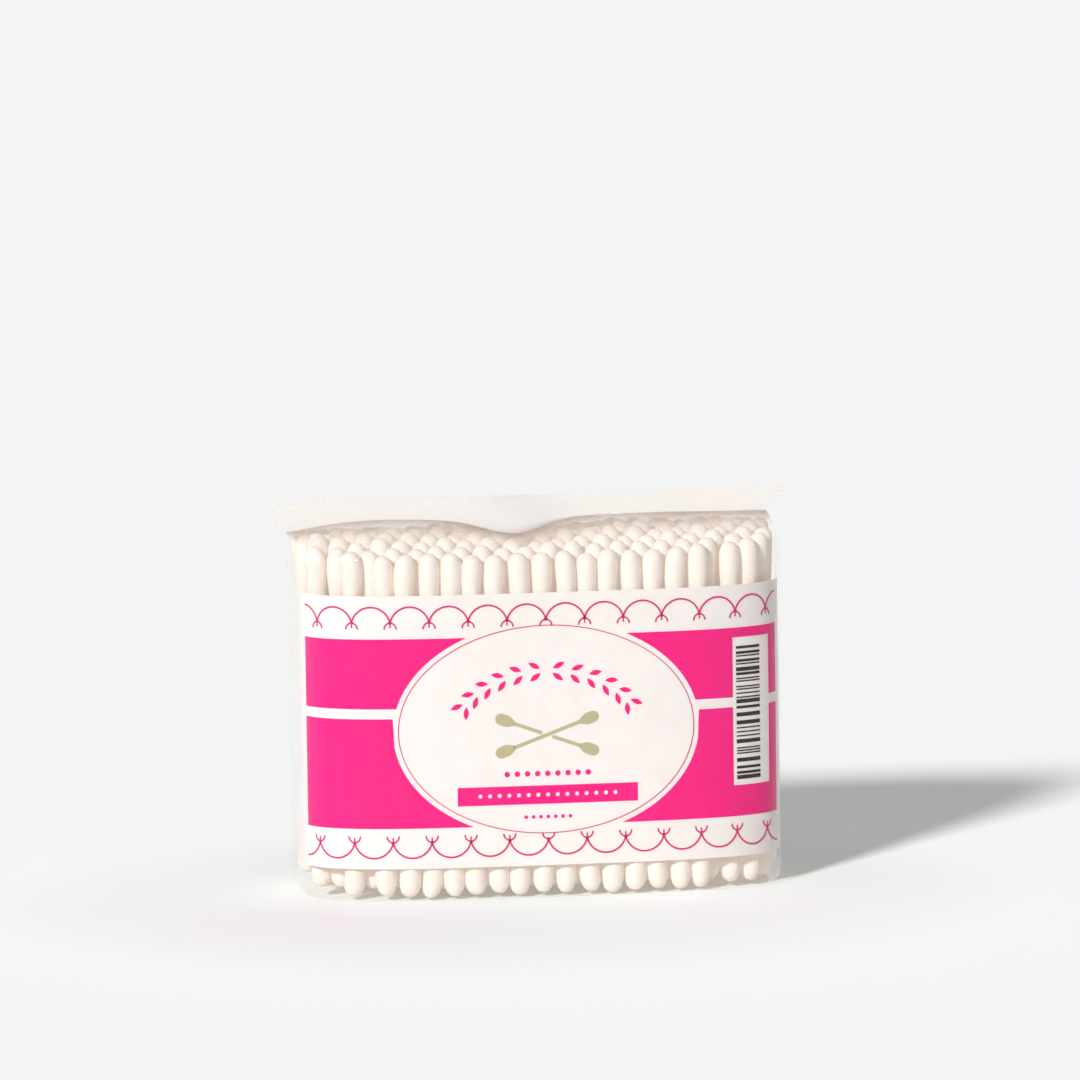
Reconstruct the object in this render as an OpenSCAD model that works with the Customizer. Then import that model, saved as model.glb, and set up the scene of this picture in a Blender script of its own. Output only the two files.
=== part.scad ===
// Clear film bag of cotton swabs, standing on its flat base.
// Millimetres. X runs along the front, Y from front to back, Z up. The base is at Z = 0.
// The film, the label and the print follow one outline, which the packed swabs set.

/* [Swabs] */
// Length of a swab from tip to tip
swab_len = 74.8; // [60:0.2:90]
// Diameter of a cotton head where it is widest
head_d = 4.65; // [4:0.05:5.6]
// Length of a cotton head
head_len = 14; // [9:0.5:20]
// Distance from a head's tip to its widest place
head_dome = 4.2; // [2.5:0.1:6]
// Diameter of a head where it ends on the stick
head_end_d = 3.1; // [2.8:0.1:3.8]
// Diameter of a paper stick
stick_d = 2.3; // [1.8:0.1:2.6]
// Cotton beyond the end of a stick
tip_cotton = 1.2; // [0.6:0.1:2]
// Swabs along the longest row
per_row = 21; // [18:1:22]
// Spacing along a row, in head diameters
row_pitch = 1.065; // [1.055:0.005:1.09]
// Spacing between rows, in head diameters
row_step = 0.968; // [0.955:0.001:0.99]
// How far the inner swabs stand above the front ones
crown = 3.4; // [0:0.1:4]
// Uneven height of the swabs, up and down
uneven = 0.4; // [0:0.05:0.6]

/* [Film] */
// Thickness of the film wall
film_t = 0.15; // [0.1:0.01:0.3]
// Squareness of the outline, where 2 is an ellipse
outline_power = 3.58; // [3.3:0.01:4]
// Radius of the folded edge round the base
base_edge = 2.8; // [1:0.1:3.2]
// Room between the front heads and the shoulder above them
head_room = 0.8; // [0.6:0.1:2]
// Rise of the roof from the shoulder to the seal
roof_rise = 4.2; // [3.8:0.1:7]

/* [Top seal] */
// Height of the seal fin above the roof
fin_h = 5.2; // [3:0.1:12]
// Thickness of the two welded films
fin_t = 0.3; // [0.2:0.02:0.5]
// Overhang of each ear beyond the bag's side
ear_out = 5.7; // [2:0.1:10]
// How far the seal sits to the left of the bag's middle
seal_shift = 1.3; // [0:0.1:2]
// How far the seal bends to the front at its dip
dip_reach = 9; // [0:0.5:11]
// How far the seal drops at its dip
dip_drop = 2.3; // [0:0.1:3]
// Half width of the dip
dip_w = 9; // [5:0.5:15]
// Place of the dip along the front
dip_x = -4; // [-20:1:20]

/* [Label] */
// Thickness of the label
label_t = 0.2; // [0.1:0.02:0.3]
// Height of the label's lower edge above the base
label_low = 7.3; // [3:0.1:12]
// Distance from the label's upper edge to the front tips
label_top_room = 8.55; // [6:0.05:16]
// Plain label beyond each end of the artwork
label_margin = 6; // [1:0.5:12]
// Shift of the label and its artwork along the front
art_shift = -0.7; // [-2:0.1:2]

/* [Print] */
// Thickness of the ink
ink_t = 0.06; // [0.04:0.01:0.1]
// Scallops along each border
scallops = 13; // [9:1:15]
// Width of one scallop
scallop_w = 8.42; // [7:0.02:9.6]
// Height of one scallop
scallop_h = 3.6; // [2:0.1:4]
// Distance from the label's edge to the scallops' points
scallop_in = 5.7; // [5:0.1:7]
// Width of the thin lines
line_w = 0.42; // [0.3:0.02:0.6]
// Distance from the label's edge to the colour fields
field_in = 9.3; // [8.8:0.1:11]
// Height of the white stripe between the fields
stripe_h = 2.2; // [1:0.1:4]
// Stripe centre above the label's middle
stripe_up = 4.1; // [0:0.1:6]
// Width of the white oval
oval_w = 66.8; // [50:0.2:70]
// How far the oval's curve passes the fields, at top and bottom
oval_over = 3.2; // [1.5:0.1:4]
// White between the oval's edge and its ring
ring_in = 1.2; // [0.6:0.1:2]
// Width of the white panel with bars
panel_w = 10.1; // [6:0.1:12]
// Field left between the panel and the artwork's end
panel_end = 3.3; // [2:0.1:5]
// Distance from the label's upper edge to the panel
panel_in = 11.4; // [10.4:0.1:14]
// Height of the panel
panel_h = 32.3; // [20:0.1:34]

/* [Hidden] */

// Colours
FILM = [0.93, 0.93, 0.92, 0.35];
PAPER = [0.98, 0.97, 0.95];
PINK = [0.93, 0.08, 0.47];
KHAKI = [0.78, 0.75, 0.59];
BLACK = [0.12, 0.1, 0.1];
COTTON = [0.96, 0.93, 0.88];
STICK = [0.94, 0.92, 0.88];

// Clearances
floor_gap = 0.1;
film_gap = 0.16;
ink_gap = 0.07;
cotton_gap = 0.12;
bore_gap = 0.02;
roof_gap = 0.7;

// Layers, measured inward from the film's outer face
label_in = film_t + film_gap + ink_t + ink_gap;
ink_in = label_in - ink_gap - ink_t;
cotton_in = label_in + label_t + cotton_gap;

// The packed swabs and the outline they fill
rows = 10;
pitch = head_d * row_pitch;
step_y = head_d * row_step;
side_room = 0.085 * head_d;
front_room = 0.075 * head_d;
packed_w = (per_row - 1) / 2 * pitch + side_room;
packed_d = (rows - 1) / 2 * step_y + front_room;
packed_power = outline_power - 0.13;
half_w = packed_w + head_d / 2 + cotton_in;
half_d = packed_d + head_d / 2 + cotton_in;

// Heights
front_top = film_t + floor_gap + swab_len;
wall_top = front_top - 0.9;
shoulder_z = front_top + head_room;
ridge_z = shoulder_z + roof_rise;
fin_top = ridge_z + fin_h;
label_high = front_top - label_top_room;
label_mid = (label_low + label_high) / 2;

// Outline: the front half, as a run of points from the left side to the right one
function squircle(t, a, b, n) = [
    -a * sign(cos(t)) * pow(abs(cos(t)), 2 / n),
    -b * pow(abs(sin(t)), 2 / n)
];
FRONT = [for (t = [0:1:180]) squircle(t, half_w, half_d, outline_power)];
function running(p, k = 1, sums = [0]) =
    k == len(p) ? sums : running(p, k + 1, concat(sums, [sums[k - 1] + norm(p[k] - p[k - 1])]));
ALONG = running(FRONT);
half_round = ALONG[len(ALONG) - 1] / 2;
X_AT = [for (k = [0:len(ALONG) - 1]) [ALONG[k] - half_round, FRONT[k].x]];
Y_AT = [for (k = [0:len(ALONG) - 1]) [ALONG[k] - half_round, FRONT[k].y]];

// Outward direction of the outline at a point of it
function outward(p) =
    let (g = [
        sign(p.x) * pow(abs(p.x) / half_w, outline_power - 1) / half_w,
        sign(p.y) * pow(abs(p.y) / half_d, outline_power - 1) / half_d
    ])
    g / norm(g);

// A point on the bag, s along the front from its middle, z up, and deep inside the film's outer face
function skin(s, z, deep) =
    let (p = [lookup(s, X_AT), lookup(s, Y_AT)], q = p - deep * outward(p))
    [q.x, q.y, z];

// A thin layer on the label between a lower and an upper edge, both lists of [s, z]
module inked(low, high, closed = false) {
    n = len(low);
    deep = [ink_in, ink_in + ink_t];
    points = [for (d = deep) each concat(
        [for (p = low) skin(p.x + art_shift, p.y, d)],
        [for (p = high) skin(p.x + art_shift, p.y, d)]
    )];
    last = closed ? n - 1 : n - 2;
    function face(a, b, c, d) = [[a, b, c], [a, c, d]];
    strips = [for (i = [0:last])
        let (j = (i + 1) % n, k = 2 * n)
        each concat(
            face(i, i + n, j + n, j),
            face(i + k, j + k, j + n + k, i + n + k),
            face(i, j, j + k, i + k),
            face(i + n, i + n + k, j + n + k, j + n)
        )
    ];
    ends = closed ? [] : concat(
        face(0, 2 * n, 3 * n, n),
        face(n - 1, 2 * n - 1, 4 * n - 1, 3 * n - 1)
    );
    polyhedron(points, concat(strips, ends), convexity = 4);
}

// A line of a given half width along a path of [s, z]
module line(path, half, closed = false) {
    n = len(path);
    function run(i) = let (
        a = closed ? path[(i + n - 1) % n] : path[max(i - 1, 0)],
        b = closed ? path[(i + 1) % n] : path[min(i + 1, n - 1)]
    ) (b - a) / norm(b - a);
    function wide(i) = is_list(half) ? half[i] : half;
    low = [for (i = [0:n - 1]) path[i] - wide(i) * [-run(i).y, run(i).x]];
    high = [for (i = [0:n - 1]) path[i] + wide(i) * [-run(i).y, run(i).x]];
    inked(low, high, closed);
}

// The film bag
ROUND = 80;
function rim(j, deep) =
    let (
        back = j > ROUND / 2,
        k = back ? ROUND - j : j,
        p = skin((0.5 - 2 * k / ROUND) * 2 * half_round, 0, deep)
    )
    [p.x, back ? -p.y : p.y];
function dip(x) = exp(-pow((x - dip_x) / dip_w, 2));
ridge_half = half_w - 0.3;
function ridge(x) = [
    x * ridge_half / half_w - seal_shift,
    -dip_reach * dip(x),
    ridge_z - dip_drop * dip(x)
];
function rise(w) = 1 - pow(1 - w, 1.35);
function side_of(j) = j == 0 || j == ROUND / 2 ? 0 : j < ROUND / 2 ? -1 : 1;
function ring(deep, z) = [for (j = [0:ROUND - 1]) [rim(j, deep).x, rim(j, deep).y, z]];

// The shoulder turns in over the front and back heads, and stays upright at both ends
shoulder_in = 2.2;
end_in = 0.2;
function shoulder(j, film, w) = [
    rim(j, film).x * (1 - w * end_in / half_w),
    rim(j, film + w * shoulder_in).y
];
function shoulder_ring(w, z, film) = [for (j = [0:ROUND - 1]) concat(shoulder(j, film, w), z)];
function roof_ring(w, film) = [for (j = [0:ROUND - 1])
    let (p = shoulder(j, film, 1), q = ridge(p.x))
    [p.x + (q.x - p.x) * w, p.y + (q.y - p.y) * w, shoulder_z + (q.z - shoulder_z) * rise(w) - film]
];
function fin_ring(f) = [for (j = [0:ROUND - 1])
    let (
        x = shoulder(j, 0, 1).x,
        q = ridge(x),
        tip = pow(abs(x) / half_w, 9),
        out = pow(f, x < 0 ? 0.6 : 1.2) * tip * (half_w + ear_out - abs(q.x)),
        top = fin_top - (x < 0 ? 1.2 * tip : 0)
    )
    [q.x + sign(x) * out, q.y * (1 - 0.8 * f) + side_of(j) * fin_t / 2, q.z + (top - q.z) * f]
];
function bands(rings, first) = [for (k = [0:rings - 2]) for (j = [0:ROUND - 1])
    let (
        a = first + k * ROUND + j,
        b = first + k * ROUND + (j + 1) % ROUND,
        c = b + ROUND,
        d = a + ROUND
    )
    each [[a, b, c], [a, c, d]]
];
function fan(first, middle) = [for (j = [0:ROUND - 1]) [first + j, middle, first + (j + 1) % ROUND]];
function slit(first) = [for (j = [0:ROUND / 2 - 1])
    let (
        a = first + j,
        b = first + j + 1,
        c = first + (ROUND - j - 1) % ROUND,
        d = first + (ROUND - j) % ROUND
    )
    each (j == 0 ? [[a, b, c]] : j == ROUND / 2 - 1 ? [[a, b, d]] : [[a, b, c], [a, c, d]])
];

// A closed skin over the rings, flat at its base and pinched shut at its top
module pouch(rings, base_z) {
    count = len(rings) * ROUND;
    points = concat([for (r = rings) each r], [[0, 0, base_z]]);
    polyhedron(
        points,
        concat(bands(len(rings), 0), fan(0, count), slit(count - ROUND)),
        convexity = 6
    );
}

module film_bag() {
    edge = [for (t = [0:30:90]) [base_edge * (1 - sin(t)), base_edge * (1 - cos(t))]];
    soft = [[0, wall_top], [0.32, (wall_top + shoulder_z) / 2 + 0.35]];
    outer = concat(
        [for (e = edge) ring(e[0], e[1])],
        [for (s = soft) shoulder_ring(s[0], s[1], 0)],
        [for (w = [0, 0.25, 0.55, 0.8]) roof_ring(w, 0)],
        [for (f = [0, 0.35, 0.7, 1]) fin_ring(f)]
    );
    inner = concat(
        [for (e = edge) ring(e[0] + film_t, max(e[1], film_t))],
        [for (s = soft) shoulder_ring(s[0], s[1], film_t)],
        [for (w = [0, 0.25, 0.55, 0.8, 0.95]) roof_ring(w, film_t)]
    );
    color(FILM) difference() {
        pouch(outer, 0);
        pouch(inner, film_t);
    }
}

// The label, a strip of the outline between its two ends
art_w = scallops * scallop_w;
label_half = art_w / 2 + label_margin;
LABEL_STEPS = 90;
module label_sheet() {
    at = [for (k = [0:LABEL_STEPS]) art_shift - label_half + 2 * label_half * k / LABEL_STEPS];
    front = [for (s = at) skin(s, 0, label_in)];
    back = [for (k = [LABEL_STEPS:-1:0]) skin(at[k], 0, label_in + label_t)];
    color(PAPER) translate([0, 0, label_low])
        linear_extrude(label_high - label_low)
        polygon([for (p = concat(front, back)) [p.x, p.y]]);
}

// Places of the artwork on the label
field_high = label_high - field_in;
field_low = label_low + field_in - 0.5;
stripe_z = label_mid + stripe_up;
stripe_top = stripe_z + stripe_h / 2;
stripe_bottom = stripe_z - stripe_h / 2;
oval_h = (field_high - field_low) / 2 + oval_over;
oval_a = oval_w / 2;
panel_right = art_w / 2 - panel_end;
panel_left = panel_right - panel_w;
panel_high = label_high - panel_in;
panel_low = panel_high - panel_h;
corner = 0.05;

function oval_rise(s) = oval_h * sqrt(max(0, 1 - pow(s / oval_a, 2)));
oval_cross = oval_a * sqrt(1 - pow((field_high - label_mid) / oval_h, 2));
oval_cross_low = oval_a * sqrt(1 - pow((label_mid - field_low) / oval_h, 2));
function spread(a, b, n) = [for (k = [0:n]) a + (b - a) * k / n];

// Upper and lower fields, drawn for the right side and mirrored for the left one
function upper_columns(panel) = concat(
    spread(oval_cross + 0.15, oval_a, 8),
    panel ? concat(spread(oval_a + 1, panel_left, 3), spread(panel_left + corner, panel_right - corner, 5),
        spread(panel_right, art_w / 2, 3)) : spread(oval_a + 1, art_w / 2, 10)
);
function lower_columns(panel) = concat(
    spread(oval_cross_low + 0.15, oval_a - 0.05, 8),
    panel ? concat(spread(oval_a + 0.02, panel_left, 3), spread(panel_left + corner, panel_right - corner, 5),
        spread(panel_right, art_w / 2, 3)) : spread(oval_a + 0.02, art_w / 2, 10)
);
function over_panel(s) = s > panel_left + corner / 2 && s < panel_right - corner / 2;
function upper_low(s, panel) = panel && over_panel(s) ? panel_high : max(stripe_top, label_mid + oval_rise(s));
function lower_high(s, panel) =
    panel && over_panel(s) ? panel_low : s < oval_a ? label_mid - oval_rise(s) : stripe_bottom;
function mirrored(v) = [for (k = [len(v) - 1:-1:0]) [-v[k].x, v[k].y]];

module field(low, high, left) {
    inked(left ? mirrored(low) : low, left ? mirrored(high) : high);
}

module fields() {
    for (left = [false, true]) {
        up = upper_columns(!left);
        down = lower_columns(!left);
        field([for (s = up) [s, upper_low(s, !left)]], [for (s = up) [s, field_high]], left);
        field([for (s = down) [s, field_low]], [for (s = down) [s, lower_high(s, !left)]], left);
    }
}

// One border of scallops, with a small bow at each point and a tick where the ring leaves room; up is 1 or -1
ARCH_TURN = 22.5;
module scallop_border(z, up) {
    half = scallop_w / 2;
    curve = [for (t = [90:ARCH_TURN:90 + 180 * scallops])
        let (whole = floor(t / 180), part = t - 180 * whole)
        [-art_w / 2 + scallop_w * (whole - 0.5) + half * (1 - cos(part)), z + up * scallop_h * sin(part)]
    ];
    line(curve, line_w / 2);
    for (k = [0:scallops - 1]) {
        s = -art_w / 2 + (k + 0.5) * scallop_w;
        line([for (t = [0:60:180]) [s - 1.3 * cos(t), z - up * (1.9 - 1.4 * sin(t))]], line_w / 2);
        if (abs(s) > scallop_w / 2)
            line([[s, z - up * 1], [s, z - up * 1.8]], line_w / 2);
    }
}

module oval_ring() {
    a = oval_a - ring_in;
    b = oval_h - ring_in;
    line([for (t = [0:7.5:352.5]) [-a * cos(t), label_mid + b * sin(t)]], line_w / 3, closed = true);
}

// An arch of leaves over the middle of the oval
LEAVES = 6;
arch_w = 21;
arch_h = 15.2;
module leaf(s, z, turn, long, wide) {
    line([for (k = [0:3]) [s, z] + long * (k / 3 - 0.5) * [cos(turn), sin(turn)]],
        [for (k = [0:3]) wide * sin(20 + 46 * k)]);
}
module garland() {
    for (side = [-1, 1])
        for (k = [0:LEAVES - 1]) {
            t = 90 - side * (7 + 11 * k);
            across = [cos(t) / arch_w, sin(t) / arch_h];
            middle = [arch_w * cos(t), label_mid - 2.5 + arch_h * sin(t)];
            turn = atan2(across.y, across.x) - side * 90;
            for (out = [-1, 1]) {
                p = middle + 1.25 * out * across / norm(across);
                leaf(p.x, p.y, turn + out * side * 32, 2.7, 0.55);
            }
        }
}
module dots(z, count, apart, r) {
    for (k = [0:count - 1]) {
        s = (k - (count - 1) / 2) * apart;
        line([for (j = [0:3]) [s + r * (j / 1.5 - 1) * 0.94, z]], [for (j = [0:3]) r * sin(20 + 46 * j)]);
    }
}
bar_half_w = 19.6;
bar_half_h = 2;
bar_down = 14.2;
module bar() {
    line([for (s = spread(-bar_half_w, bar_half_w, 10)) [s, label_mid - bar_down]], bar_half_h);
}

module pink_print() {
    color(PINK) {
        fields();
        scallop_border(label_high - scallop_in, 1);
        scallop_border(label_low + scallop_in, -1);
        oval_ring();
        garland();
        bar();
        dots(label_mid - 9.6, 9, 2.2, 0.6);
        dots(label_mid - 19, 7, 1.6, 0.4);
    }
}

// Two crossed swabs as a plain drawing
icon_half = 11.5;
icon_tilt = 20;
icon_head = 2;
icon_stick = 0.42;
module drawn_swab(turn, breaks) {
    n = 7;
    c = [0, label_mid - 1.2];
    d = [cos(turn), sin(turn)];
    for (side = [-1, 1]) {
        head = [for (k = [0:n]) c + side * d * (icon_half - 5.2 * (1 - k / n))];
        line(head, [for (k = [0:n]) k == 0 ? icon_stick : k == n ? 0.5 : icon_head * (0.25 + 0.75 * sin(150 * k / n)) * 0.8]);
    }
    if (breaks) {
        for (side = [-1, 1])
            line([c + side * d * 1.3, c + side * d * (icon_half - 5.25)], icon_stick);
    } else {
        line([c - d * (icon_half - 5.25), c + d * (icon_half - 5.25)], icon_stick);
    }
}
module khaki_print() {
    color(KHAKI) {
        drawn_swab(icon_tilt, false);
        drawn_swab(-icon_tilt, true);
    }
}

// Plain bars of uneven thickness on the panel, which mean nothing
BAR_COUNT = 26;
BAR_ROLLS = rands(0.35, 1, BAR_COUNT, 5);
module black_print() {
    each_h = (panel_h - 2.4) / BAR_COUNT;
    color(BLACK)
        for (k = [0:BAR_COUNT - 1]) {
            z = panel_low + 1.2 + (k + 0.5) * each_h;
            line([for (s = spread(panel_left + 0.9, panel_left + 7.1, 4)) [s, z]], each_h * 0.38 * BAR_ROLLS[k]);
        }
}

// Packing: heads start on a loose grid, then push each other and the film until none overlap
SPINS = 90;
NUDGE = 0.043 * head_d;
ROOM = 1.28;
function fill(p) = pow(abs(p.x) / packed_w, packed_power) + pow(abs(p.y) / packed_d, packed_power);
function grid(r, i) = [(i - (per_row - 1) / 2 + (r % 2 == 0 ? -0.25 : 0.25)) * pitch, (r - (rows - 1) / 2) * step_y];
TAKEN = [for (r = [0:rows - 1]) [for (i = [0:per_row - 1]) fill(grid(r, i)) < ROOM]];
function taken(r, i) = r >= 0 && r < rows && i >= 0 && i < per_row && TAKEN[r][i];
function start(seed) =
    let (roll = rands(-NUDGE, NUDGE, rows * per_row * 2, seed))
    [for (r = [0:rows - 1]) [for (i = [0:per_row - 1])
        taken(r, i) ? grid(r, i) + [roll[2 * (r * per_row + i)], roll[2 * (r * per_row + i) + 1]] : undef
    ]];
function beside(r, i) =
    let (k = r % 2 == 0 ? -1 : 0)
    [for (q = [[r, i - 1], [r, i + 1], [r - 1, i + k], [r - 1, i + k + 1],
        [r + 1, i + k], [r + 1, i + k + 1], [r - 2, i], [r + 2, i]]) if (taken(q[0], q[1])) q];
BESIDE = [for (r = [0:rows - 1]) [for (i = [0:per_row - 1]) taken(r, i) ? beside(r, i) : []]];
apart = head_d * 1.026;
function push(p, q) =
    let (v = p - q, d = max(norm(v), 0.01))
    d < apart ? v * (0.5 * (apart - d) / d) : [0, 0];
function total(v, k = 0, sum = [0, 0]) = k == len(v) ? sum : total(v, k + 1, sum + v[k]);
function held(p) =
    let (f = fill(p))
    f <= 1 ? p : let (
        g = packed_power * [
            sign(p.x) * pow(abs(p.x) / packed_w, packed_power - 1) / packed_w,
            sign(p.y) * pow(abs(p.y) / packed_d, packed_power - 1) / packed_d
        ]
    ) p - g * ((f - 1) / (g * g));
function moved(spots) = [for (r = [0:rows - 1]) [for (i = [0:per_row - 1])
    taken(r, i) ? held(spots[r][i] + total([for (q = BESIDE[r][i]) push(spots[r][i], spots[q[0]][q[1]])])) : undef
]];
function settled(spots, n) = n == 0 ? spots : settled(moved(spots), n - 1);
LOW_SPOTS = settled(start(7), SPINS);
TOP_SPOTS = settled(start(12), SPINS);

// Roof height over a place, to keep each head under the film
function roof_over(p) =
    let (
        wide = min(abs(p.x) / half_w, 1),
        wall = (half_d - shoulder_in) * pow(1 - pow(wide, outline_power), 1 / outline_power),
        top = ridge(p.x),
        edge = p.y < top.y ? -wall : wall,
        w = max(0, min(1, (p.y - edge) / (top.y - edge)))
    )
    shoulder_z + (top.z - shoulder_z) * rise(w);
LIFTS = rands(-uneven, uneven, rows * per_row, 31);
function depth_in(p) = 1 - abs(p.y) / packed_d;
function tip_height(r, i) =
    let (
        p = TOP_SPOTS[r][i],
        w = depth_in(p),
        want = front_top + crown * sin(90 * max(0, min(1, w / 0.62))) + LIFTS[r * per_row + i],
        under = roof_over(p + 0.7 * outward(p)) - roof_gap
    )
    max(front_top, min(want, under));

// Puts its children on a swab, whose lower tip is at the origin and whose axis is Z
module on_swab(r, i) {
    low = LOW_SPOTS[r][i];
    top = TOP_SPOTS[r][i];
    lean = top - low;
    translate([low.x, low.y, tip_height(r, i) - swab_len])
        rotate([0, atan2(norm(lean), swab_len), atan2(lean.y, lean.x)])
        children();
}

// Half section of a cotton head, from its tip at 0 up to where it ends on the stick
bore_r = stick_d / 2 + bore_gap;
DOME = [for (t = [0:22.5:90]) [head_d / 2 * sin(t), head_dome * (1 - cos(t))]];
TAPER = [for (k = [1:3])
    let (w = k / 3)
    [head_d / 2 - (head_d - head_end_d) / 2 * pow(w, 1.5), head_dome + (head_len - head_dome) * w]
];
HEAD = concat(DOME, TAPER, [[bore_r, head_len], [bore_r, tip_cotton - bore_gap], [0, tip_cotton - bore_gap]]);

module head() {
    rotate_extrude() polygon(HEAD);
}

module sticks_row(number) {
    color(STICK)
        for (i = [0:per_row - 1])
            if (taken(number - 1, i))
                on_swab(number - 1, i) translate([0, 0, tip_cotton]) cylinder(d = stick_d, h = swab_len - 2 * tip_cotton);
}

module low_heads_row(number) {
    color(COTTON)
        for (i = [0:per_row - 1])
            if (taken(number - 1, i))
                on_swab(number - 1, i) head();
}

module top_heads_row(number) {
    color(COTTON)
        for (i = [0:per_row - 1])
            if (taken(number - 1, i))
                on_swab(number - 1, i) translate([0, 0, swab_len]) mirror([0, 0, 1]) head();
}

film_bag();
label_sheet();
pink_print();
khaki_print();
black_print();
sticks_row(1);  // sticks_row_01
sticks_row(2);  // sticks_row_02
sticks_row(3);  // sticks_row_03
sticks_row(4);  // sticks_row_04
sticks_row(5);  // sticks_row_05
sticks_row(6);  // sticks_row_06
sticks_row(7);  // sticks_row_07
sticks_row(8);  // sticks_row_08
sticks_row(9);  // sticks_row_09
sticks_row(10);  // sticks_row_10
top_heads_row(1);  // top_heads_row_01
top_heads_row(2);  // top_heads_row_02
top_heads_row(3);  // top_heads_row_03
top_heads_row(4);  // top_heads_row_04
top_heads_row(5);  // top_heads_row_05
top_heads_row(6);  // top_heads_row_06
top_heads_row(7);  // top_heads_row_07
top_heads_row(8);  // top_heads_row_08
top_heads_row(9);  // top_heads_row_09
top_heads_row(10);  // top_heads_row_10
low_heads_row(1);  // low_heads_row_01
low_heads_row(2);  // low_heads_row_02
low_heads_row(3);  // low_heads_row_03
low_heads_row(4);  // low_heads_row_04
low_heads_row(5);  // low_heads_row_05
low_heads_row(6);  // low_heads_row_06
low_heads_row(7);  // low_heads_row_07
low_heads_row(8);  // low_heads_row_08
low_heads_row(9);  // low_heads_row_09
low_heads_row(10);  // low_heads_row_10
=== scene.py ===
"""Sealed clear film bag of cotton swabs, with a printed paper label inside the film."""
import math

import bpy
import numpy as np
from bpy.props import FloatProperty, FloatVectorProperty, IntProperty, PointerProperty
from mathutils import Matrix, Vector


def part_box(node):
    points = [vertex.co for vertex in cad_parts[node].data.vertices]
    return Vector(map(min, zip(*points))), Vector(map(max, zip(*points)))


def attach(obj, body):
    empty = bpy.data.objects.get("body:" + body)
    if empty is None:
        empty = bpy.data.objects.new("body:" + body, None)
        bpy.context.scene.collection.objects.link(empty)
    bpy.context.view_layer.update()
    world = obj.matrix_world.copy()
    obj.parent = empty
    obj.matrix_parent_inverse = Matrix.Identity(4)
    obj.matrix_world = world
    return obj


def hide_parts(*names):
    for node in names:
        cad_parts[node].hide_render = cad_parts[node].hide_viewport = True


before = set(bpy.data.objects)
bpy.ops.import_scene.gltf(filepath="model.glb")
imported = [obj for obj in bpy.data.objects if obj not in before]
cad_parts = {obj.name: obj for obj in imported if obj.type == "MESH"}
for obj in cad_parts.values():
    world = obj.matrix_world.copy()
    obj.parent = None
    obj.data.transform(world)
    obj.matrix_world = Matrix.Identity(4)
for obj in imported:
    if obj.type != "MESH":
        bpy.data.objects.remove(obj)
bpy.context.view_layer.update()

bl_info = {
    "name": "Cotton Swab Bag",
    "version": (1, 0, 0),
    "blender": (4, 5, 0),
    "location": "View3D > Sidebar > Swab Bag",
    "description": "Dresses a clear film bag of cotton swabs and its printed label",
    "category": "Add Mesh",
}

MM = 0.001
LABEL_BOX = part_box("label_sheet")
FILM_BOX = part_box("film_bag")
ROWS = 10
# Columns of the film's grid, and metres of film round the bag
COLUMNS = 400
GIRTH = 0.292
# Waves of the film: turns round the bag, size and lean over height
WALL_WAVES = ((31, 0.3, 0.01), (47, 0.28, -0.02), (73, 0.22, 0.015), (118, 0.12, 0.03))
GATHERS = ((24, 0.35, 2), (41, 0.3, -3), (67, 0.3, 4), (103, 0.22, 5), (151, 0.14, -4))
CRUMPLES = ((17, 0.4, 9), (29, 0.35, -14), (53, 0.25, 21))
# Ink's face and underside above the card, and the half sizes of the leaf arch, in millimetres
INK_FACE, INK_UNDER = 0.09, 0.03
ARCH_W, ARCH_H = 21, 15.2
# Floor's brightness to the eye, its half size in metres, and the sun's place, strength and width
FLOOR_GAIN, FLOOR_HALF = 1.488, 14.0
SUN_AZIMUTH, SUN_ELEVATION, SUN_ENERGY, SUN_ANGLE = -37.6, 27.4, 2.52, 8
# Soft lamps: name, azimuth, elevation, distance, width, height and power
SOFTBOXES = (
    ("left_glare", -108, 10, 1.3, 1.3, 1.3, 20),
    ("front_glare", -48, 30, 1.5, 0.5, 0.8, 6),
    ("right_glare", 78, 12, 1.4, 0.12, 1.2, 2.2),
)
# The picture is this many pixels wide, and its middle lies so many right of and above the bag's
PICTURE, AIM_RIGHT, AIM_UP = 1080, 5.7, 117.4


def linear(code):
    """Linear colour of an sRGB hex code."""
    parts = [int(code[k : k + 2], 16) / 255 for k in (1, 3, 5)]
    lit = [p / 12.92 if p <= 0.04045 else ((p + 0.055) / 1.055) ** 2.4 for p in parts]
    return (*lit, 1.0)


def length(label, words, value):
    """A length property in metres, from a value in millimetres."""
    return FloatProperty(name=label, description=words, default=value * MM, unit="LENGTH", subtype="DISTANCE")


def angle(label, words, value):
    """An angle property in radians, from a value in degrees."""
    return FloatProperty(name=label, description=words, default=math.radians(value), subtype="ANGLE")


def colour(label, words, code):
    """A colour property, from an sRGB hex code."""
    return FloatVectorProperty(
        name=label, description=words, default=linear(code)[:3], size=3, min=0, max=1, subtype="COLOR"
    )


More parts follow.
